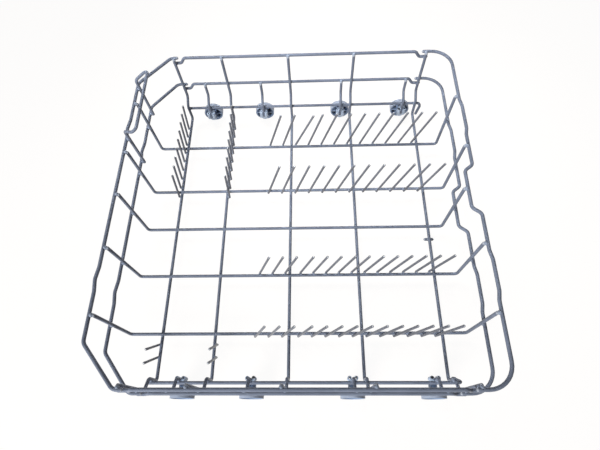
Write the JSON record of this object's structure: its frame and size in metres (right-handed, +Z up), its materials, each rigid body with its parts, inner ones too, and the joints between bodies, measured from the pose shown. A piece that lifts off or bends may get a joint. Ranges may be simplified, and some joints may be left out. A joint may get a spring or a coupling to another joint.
{
  "type": "dishwasher basket",
  "caption": "Lower basket of a dishwasher: open frame of coated wire with rows of leaning plate tines, cup tines, a handle loop and small wheels.",
  "frame": {"origin": "on the surface under the wheels, at the middle of the basket", "axes": "+X from the front, where the handle is, to the rear; +Y to the basket's left side; +Z up"},
  "size_m": [0.5184, 0.526, 0.1834],
  "materials": {
    "wire_coat": "satin blue-grey nylon coat on steel wire",
    "tine_coat": "satin blue-grey nylon coat on steel wire",
    "wheel_plastic": "moulded light blue-grey",
    "clip_plastic": "moulded light blue-grey"
  },
  "bodies": {
    "basket": {"axle_clips_left": "clip_plastic", "axle_clips_right": "clip_plastic", "bottom_rail_left": "wire_coat", "bottom_rail_right": "wire_coat", "cross_wire_1": "wire_coat", "cross_wire_2": "wire_coat", "cross_wire_3": "wire_coat", "cross_wire_4": "wire_coat", "cross_wire_5": "wire_coat", "cup_tines_1": "tine_coat", "cup_tines_2": "tine_coat", "handle_loop": "wire_coat", "length_wire_1": "wire_coat", "length_wire_2": "wire_coat", "length_wire_3": "wire_coat", "length_wire_4": "wire_coat", "length_wire_5": "wire_coat", "middle_rail_left": "wire_coat", "middle_rail_right": "wire_coat", "middle_rim_front": "wire_coat", "middle_rim_rear": "wire_coat", "plate_tines_1": "tine_coat", "plate_tines_2": "tine_coat", "plate_tines_4": "tine_coat", "plate_tines_5": "tine_coat", "rear_stub": "wire_coat", "top_rail_left": "wire_coat", "top_rail_right": "wire_coat", "top_rim_front": "wire_coat", "top_rim_rear": "wire_coat", "wheel_stems_left": "wire_coat", "wheel_stems_right": "wire_coat"},
    "wheel_left_1": {"wheel_left_1": "wheel_plastic"},
    "wheel_left_2": {"wheel_left_2": "wheel_plastic"},
    "wheel_left_3": {"wheel_left_3": "wheel_plastic"},
    "wheel_left_4": {"wheel_left_4": "wheel_plastic"},
    "wheel_right_1": {"wheel_right_1": "wheel_plastic"},
    "wheel_right_2": {"wheel_right_2": "wheel_plastic"},
    "wheel_right_3": {"wheel_right_3": "wheel_plastic"},
    "wheel_right_4": {"wheel_right_4": "wheel_plastic"}
  },
  "joints": [
    {"name": "wheel_left_1_spin", "type": "hinge", "parent": "basket", "child": "wheel_left_1", "pos_m": [-0.164, 0.2571, 0.0175], "axis": [0, 1, 0], "continuous": true},
    {"name": "wheel_left_2_spin", "type": "hinge", "parent": "basket", "child": "wheel_left_2", "pos_m": [-0.064, 0.2571, 0.0175], "axis": [0, 1, 0], "continuous": true},
    {"name": "wheel_left_3_spin", "type": "hinge", "parent": "basket", "child": "wheel_left_3", "pos_m": [0.08, 0.2571, 0.0175], "axis": [0, 1, 0], "continuous": true},
    {"name": "wheel_left_4_spin", "type": "hinge", "parent": "basket", "child": "wheel_left_4", "pos_m": [0.194, 0.2571, 0.0175], "axis": [0, 1, 0], "continuous": true},
    {"name": "wheel_right_1_spin", "type": "hinge", "parent": "basket", "child": "wheel_right_1", "pos_m": [-0.164, -0.2571, 0.0175], "axis": [0, 1, 0], "continuous": true},
    {"name": "wheel_right_2_spin", "type": "hinge", "parent": "basket", "child": "wheel_right_2", "pos_m": [-0.064, -0.2571, 0.0175], "axis": [0, 1, 0], "continuous": true},
    {"name": "wheel_right_3_spin", "type": "hinge", "parent": "basket", "child": "wheel_right_3", "pos_m": [0.08, -0.2571, 0.0175], "axis": [0, 1, 0], "continuous": true},
    {"name": "wheel_right_4_spin", "type": "hinge", "parent": "basket", "child": "wheel_right_4", "pos_m": [0.194, -0.2571, 0.0175], "axis": [0, 1, 0], "continuous": true}
  ]
}
